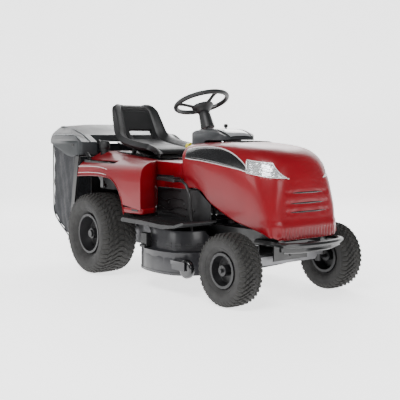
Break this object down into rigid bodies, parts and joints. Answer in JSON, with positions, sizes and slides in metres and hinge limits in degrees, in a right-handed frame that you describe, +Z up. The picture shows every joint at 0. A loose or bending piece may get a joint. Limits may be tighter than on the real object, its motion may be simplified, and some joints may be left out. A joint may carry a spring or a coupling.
{
  "type": "riding lawn mower",
  "caption": "Ride-on lawn mower with front engine hood, side-plate steering, mid-mounted cutting deck and a tipping rear grass collector.",
  "frame": {"origin": "on the ground, below the centre of the bounding box", "axes": "-Y is the direction of travel, +X the rider's left, +Z up"},
  "size_m": [0.911, 1.929, 1.0237],
  "materials": {
    "hood_red": "gloss red paint",
    "black_paint": "semi-gloss black paint",
    "black_plastic": "fine-grained black plastic",
    "console_grey": "satin dark grey plastic",
    "deck_paint": "satin dark grey paint",
    "cast_metal": "sand-cast, slightly rough",
    "steel": "turned and pressed steel",
    "tyre_rubber": "dull black rubber",
    "belt_rubber": "dull black rubber",
    "seat_vinyl": "grained black vinyl",
    "bag_mesh": "woven black mesh",
    "lens_clear": "clear moulded lens",
    "yellow_plastic": "gloss yellow plastic"
  },
  "bodies": {
    "chassis": {"chassis_frame": "black_paint", "rear_plate": "black_plastic", "front_bumper": "black_paint", "footboard_left": "black_plastic", "footboard_right": "black_plastic", "footwell_cover": "black_plastic", "engine_crankcase": "cast_metal", "engine_cowl": "black_paint", "muffler": "steel", "battery": "black_plastic", "transaxle": "cast_metal", "fuel_tank": "black_plastic", "discharge_chute": "black_plastic", "dash_console": "console_grey", "steering_column": "black_plastic", "fender_body": "hood_red", "height_quadrant": "black_plastic", "tipping_bracket": "black_paint"},
    "hood": {"hood_shell": "hood_red", "hood_vent": "black_plastic", "headlamp_left": "lens_clear", "headlamp_right": "lens_clear"},
    "engine_crank": {"crankshaft_and_flywheel": "steel"},
    "steering_wheel": {"steering_wheel": "black_plastic", "steering_shaft": "steel"},
    "steering_sector": {"steering_sector": "steel"},
    "drag_link": {"drag_link": "steel"},
    "front_axle": {"front_axle_beam": "cast_metal"},
    "knuckle_left": {"steering_knuckle_left": "steel"},
    "knuckle_right": {"steering_knuckle_right": "steel"},
    "tie_rod": {"tie_rod": "steel"},
    "front_wheel_left": {"front_tyre_left": "tyre_rubber", "front_rim_left": "black_paint"},
    "front_wheel_right": {"front_tyre_right": "tyre_rubber", "front_rim_right": "black_paint"},
    "rear_wheel_left": {"rear_tyre_left": "tyre_rubber", "rear_rim_left": "black_paint", "half_shaft_left": "steel"},
    "rear_wheel_right": {"rear_tyre_right": "tyre_rubber", "rear_rim_right": "black_paint", "half_shaft_right": "steel"},
    "deck": {"deck_shell": "deck_paint", "blade_timing_belt": "belt_rubber"},
    "blade_left": {"blade_and_spindle_left": "steel"},
    "blade_right": {"blade_and_spindle_right": "steel"},
    "scalp_wheel_left": {"anti_scalp_wheel_left": "black_plastic"},
    "scalp_wheel_right": {"anti_scalp_wheel_right": "black_plastic"},
    "seat_slide": {"seat_slide": "black_paint"},
    "seat": {"seat_cushion": "seat_vinyl", "seat_pan": "black_paint"},
    "collector": {"collector_lid": "console_grey", "collector_bag": "bag_mesh", "collector_frame": "black_paint"},
    "drive_pedal": {"drive_pedal": "black_plastic"},
    "brake_pedal": {"brake_pedal": "black_plastic"},
    "height_lever": {"height_lever": "black_plastic"},
    "blade_knob": {"blade_engage_knob": "yellow_plastic"},
    "key": {"ignition_key": "steel"},
    "throttle": {"throttle_lever": "black_plastic"},
    "fuel_cap": {"fuel_cap": "black_plastic"}
  },
  "joints": [
    {"name": "hood_tilt", "type": "hinge", "parent": "chassis", "child": "hood", "pos_m": [0, -0.8455, 0.335], "axis": [1, 0, 0], "range_deg": [0, 45]},
    {"name": "engine_crank_spin", "type": "hinge", "parent": "chassis", "child": "engine_crank", "pos_m": [0, -0.5655, 0.4], "axis": [0, 0, 1], "continuous": true},
    {"name": "front_axle_swing", "type": "hinge", "parent": "chassis", "child": "front_axle", "pos_m": [0, -0.7025, 0.215], "axis": [0, 1, 0], "range_deg": [-4.5, 4.5]},
    {"name": "kingpin_left", "type": "hinge", "parent": "front_axle", "child": "knuckle_left", "pos_m": [0.25, -0.7025, 0.2], "axis": [0, 0, 1], "range_deg": [-30, 30]},
    {"name": "kingpin_right", "type": "hinge", "parent": "front_axle", "child": "knuckle_right", "pos_m": [-0.25, -0.7025, 0.2], "axis": [0, 0, 1], "range_deg": [-30, 30]},
    {"name": "tie_rod_end", "type": "hinge", "parent": "knuckle_left", "child": "tie_rod", "pos_m": [0.25, -0.6175, 0.226], "axis": [0, 0, 1], "range_deg": [-30, 30]},
    {"name": "steering_turn", "type": "hinge", "parent": "chassis", "child": "steering_wheel", "pos_m": [0, -0.0705, 0.96], "axis": [0, 0.3665, 0.9304], "range_deg": [-180, 180]},
    {"name": "sector_turn", "type": "hinge", "parent": "chassis", "child": "steering_sector", "pos_m": [0, -0.4075, 0.29], "axis": [0, 0, 1], "range_deg": [-30, 30]},
    {"name": "drag_link_end", "type": "hinge", "parent": "steering_sector", "child": "drag_link", "pos_m": [0, -0.3225, 0.258], "axis": [0, 0, 1], "range_deg": [-30, 30]},
    {"name": "front_wheel_left_spin", "type": "hinge", "parent": "knuckle_left", "child": "front_wheel_left", "pos_m": [0.3375, -0.7025, 0.17], "axis": [1, 0, 0], "continuous": true},
    {"name": "front_wheel_right_spin", "type": "hinge", "parent": "knuckle_right", "child": "front_wheel_right", "pos_m": [-0.3375, -0.7025, 0.17], "axis": [1, 0, 0], "continuous": true},
    {"name": "rear_wheel_left_spin", "type": "hinge", "parent": "chassis", "child": "rear_wheel_left", "pos_m": [0.3475, 0.4115, 0.2285], "axis": [1, 0, 0], "continuous": true},
    {"name": "rear_wheel_right_spin", "type": "hinge", "parent": "chassis", "child": "rear_wheel_right", "pos_m": [-0.3475, 0.4115, 0.2285], "axis": [1, 0, 0], "continuous": true},
    {"name": "deck_height", "type": "slide", "parent": "chassis", "child": "deck", "axis": [0, 0, 1], "range_m": [-0.055, 0]},
    {"name": "height_lever_turn", "type": "hinge", "parent": "chassis", "child": "height_lever", "pos_m": [-0.345, 0.3745, 0.5], "axis": [1, 0, 0], "range_deg": [0, 50]},
    {"name": "blade_left_spin", "type": "hinge", "parent": "deck", "child": "blade_left", "pos_m": [0.203, -0.2055, 0.14], "axis": [0, 0, 1], "continuous": true},
    {"name": "blade_right_spin", "type": "hinge", "parent": "deck", "child": "blade_right", "pos_m": [-0.203, -0.2055, 0.14], "axis": [0, 0, 1], "continuous": true},
    {"name": "scalp_wheel_left_spin", "type": "hinge", "parent": "deck", "child": "scalp_wheel_left", "pos_m": [0.402, -0.4635, 0.146], "axis": [1, 0, 0], "continuous": true},
    {"name": "scalp_wheel_right_spin", "type": "hinge", "parent": "deck", "child": "scalp_wheel_right", "pos_m": [-0.402, -0.4635, 0.146], "axis": [1, 0, 0], "continuous": true},
    {"name": "seat_slide_move", "type": "slide", "parent": "chassis", "child": "seat_slide", "axis": [0, 0.9958, 0.0917], "range_m": [-0.08, 0]},
    {"name": "seat_tilt", "type": "hinge", "parent": "seat_slide", "child": "seat", "pos_m": [0, 0.1685, 0.658], "axis": [1, 0, 0], "range_deg": [0, 70]},
    {"name": "collector_tip", "type": "hinge", "parent": "chassis", "child": "collector", "pos_m": [0, 0.6545, 0.74], "axis": [-1, 0, 0], "range_deg": [-55, 0]},
    {"name": "drive_pedal_push", "type": "hinge", "parent": "chassis", "child": "drive_pedal", "pos_m": [-0.263, -0.3245, 0.3], "axis": [1, 0, 0], "range_deg": [0, 12], "stiffness_Nm_per_rad": 25, "springref_deg": -2.86},
    {"name": "brake_pedal_push", "type": "hinge", "parent": "chassis", "child": "brake_pedal", "pos_m": [0.263, -0.3245, 0.3], "axis": [1, 0, 0], "range_deg": [0, 12], "stiffness_Nm_per_rad": 25, "springref_deg": -2.86},
    {"name": "blade_knob_pull", "type": "slide", "parent": "chassis", "child": "blade_knob", "axis": [0, 1, 0], "range_m": [0, 0.012]},
    {"name": "key_turn", "type": "hinge", "parent": "chassis", "child": "key", "pos_m": [0.088, -0.0855, 0.724], "axis": [0, 1, 0], "range_deg": [0, 90]},
    {"name": "throttle_swing", "type": "hinge", "parent": "chassis", "child": "throttle", "pos_m": [0.063, -0.2005, 0.772], "axis": [1, 0, 0], "range_deg": [-25, 25]},
    {"name": "fuel_cap_twist", "type": "hinge", "parent": "chassis", "child": "fuel_cap", "pos_m": [-0.24, 0.5445, 0.7], "axis": [0, 0, 1], "range_deg": [0, 90]}
  ],
  "couplings": [
    {"joint": "kingpin_right", "follows": "kingpin_left", "ratio": 1},
    {"joint": "tie_rod_end", "follows": "kingpin_left", "ratio": -1},
    {"joint": "steering_turn", "follows": "kingpin_left", "ratio": 6},
    {"joint": "sector_turn", "follows": "kingpin_left", "ratio": 1},
    {"joint": "drag_link_end", "follows": "kingpin_left", "ratio": -1},
    {"joint": "height_lever_turn", "follows": "deck_height", "rad_per_m": -15.867},
    {"joint": "blade_right_spin", "follows": "blade_left_spin", "ratio": 1}
  ]
}
